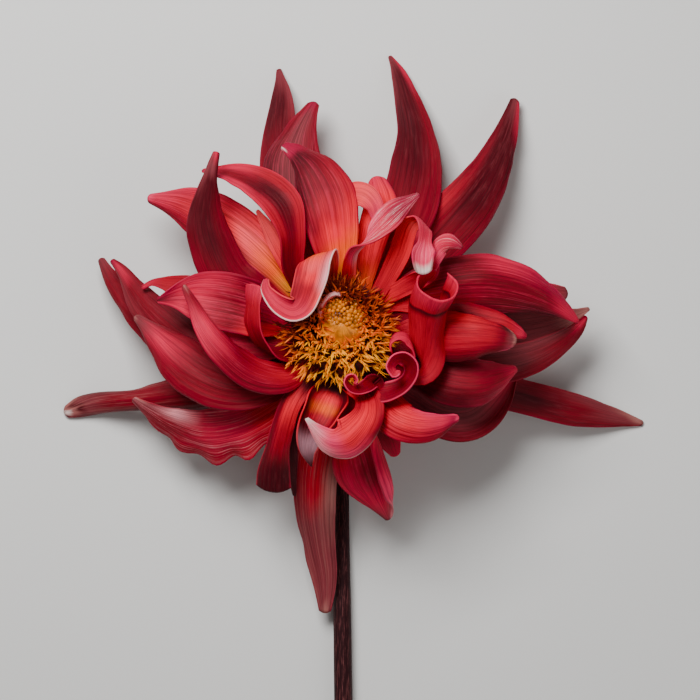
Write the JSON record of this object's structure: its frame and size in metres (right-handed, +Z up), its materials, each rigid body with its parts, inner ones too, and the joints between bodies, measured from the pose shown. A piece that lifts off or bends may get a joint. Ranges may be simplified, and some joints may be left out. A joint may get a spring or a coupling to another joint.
{
  "type": "dahlia flower",
  "caption": "Cut semi-cactus dahlia lying face up: twisted crimson ray petals round a golden disc, green bracts behind and a bent maroon stem; rests on petal tips and stem.",
  "frame": {"origin": "the small flat spot under the bend of the stem, where the flower touches the surface it lies on", "axes": "+Z up, the way the bloom faces; the stem runs from the bloom along -Y to its cut end; +X is to the right seen from above with the stem towards the viewer"},
  "size_m": [0.151, 0.2071, 0.0522],
  "materials": {
    "stem": "dark maroon-brown stem skin with fine pale streaks, satin",
    "calyx": "matt olive-green bracts",
    "ray_petals": "velvety crimson petals with coral bases and dusty tips",
    "disc_florets": "matt orange to rust tubular florets",
    "disc_buds": "golden ochre closed buds, slightly waxy"
  },
  "bodies": {
    "root": {"stem": "stem", "calyx": "calyx", "ray_petals": "ray_petals", "disc_florets": "disc_florets", "disc_buds": "disc_buds"}
  },
  "joints": []
}
